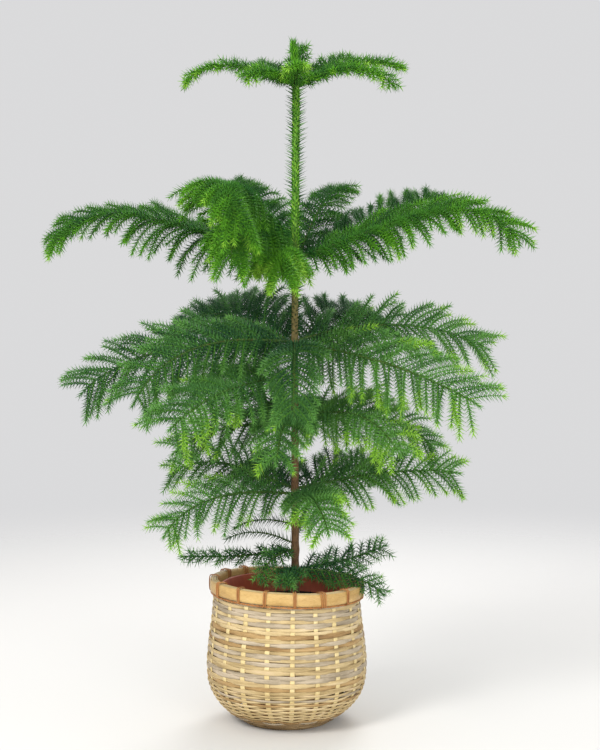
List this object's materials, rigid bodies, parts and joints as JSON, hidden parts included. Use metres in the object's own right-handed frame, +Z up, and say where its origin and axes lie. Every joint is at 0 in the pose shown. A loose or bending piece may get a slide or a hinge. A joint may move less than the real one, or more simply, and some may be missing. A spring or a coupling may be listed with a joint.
{
  "type": "potted christmas tree plant",
  "caption": "Young indoor conifer with tiers of flat, soft-needled boughs round one slim trunk, in a nursery pot set down in a lashed-rim woven bamboo basket.",
  "frame": {"origin": "centre of the basket's flat underside, on the surface the plant stands on", "axes": "+Z up the trunk; +X to the viewer's right and -Y towards the viewer in the picture"},
  "size_m": [0.6911, 0.5041, 0.9767],
  "materials": {
    "basket_weave": "matte",
    "rim_bamboo": "satin",
    "pot_plastic": "matte",
    "soil": "matte",
    "trunk_bark": "matte",
    "bough_bark": "matte",
    "foliage_crown": "matte",
    "foliage_upper": "matte",
    "foliage_broad": "matte",
    "foliage_lower": "matte"
  },
  "bodies": {
    "root": {"basket_body": "basket_weave", "basket_rim": "rim_bamboo", "broad_back_bough": "bough_bark", "broad_back_foliage": "foliage_broad", "broad_back_left_bough": "bough_bark", "broad_back_left_foliage": "foliage_broad", "broad_back_right_bough": "bough_bark", "broad_back_right_foliage": "foliage_broad", "broad_front_bough": "bough_bark", "broad_front_foliage": "foliage_broad", "broad_front_right_bough": "bough_bark", "broad_front_right_foliage": "foliage_broad", "broad_left_bough": "bough_bark", "broad_left_foliage": "foliage_broad", "broad_left_front_bough": "bough_bark", "broad_left_front_foliage": "foliage_broad", "broad_right_bough": "bough_bark", "broad_right_foliage": "foliage_broad", "crown_back_foliage": "foliage_crown", "crown_back_left_foliage": "foliage_crown", "crown_back_right_foliage": "foliage_crown", "crown_front_foliage": "foliage_crown", "crown_front_left_foliage": "foliage_crown", "crown_front_right_foliage": "foliage_crown", "crown_left_foliage": "foliage_crown", "crown_right_foliage": "foliage_crown", "dome_left_foliage": "foliage_upper", "dome_middle_foliage": "foliage_upper", "dome_right_foliage": "foliage_upper", "foot_back_right_foliage": "foliage_lower", "foot_front_foliage": "foliage_lower", "foot_right_foliage": "foliage_lower", "lower_back_foliage": "foliage_lower", "lower_back_right_foliage": "foliage_lower", "lower_front_foliage": "foliage_lower", "lower_front_left_foliage": "foliage_lower", "lower_left_foliage": "foliage_lower", "lower_right_foliage": "foliage_lower", "middle_back_foliage": "foliage_lower", "middle_back_left_foliage": "foliage_lower", "middle_front_foliage": "foliage_lower", "middle_front_right_foliage": "foliage_lower", "middle_left_foliage": "foliage_lower", "middle_right_foliage": "foliage_lower", "nursery_pot": "pot_plastic", "potting_soil": "soil", "skirt_front_left_foliage": "foliage_lower", "skirt_left_foliage": "foliage_lower", "trunk": "trunk_bark", "under_front_left_foliage": "foliage_lower", "upper_back_bough": "bough_bark", "upper_back_foliage": "foliage_upper", "upper_back_left_bough": "bough_bark", "upper_back_left_foliage": "foliage_upper", "upper_back_right_bough": "bough_bark", "upper_back_right_foliage": "foliage_upper", "upper_left_bough": "bough_bark", "upper_left_foliage": "foliage_upper", "upper_right_bough": "bough_bark", "upper_right_foliage": "foliage_upper"}
  },
  "joints": []
}
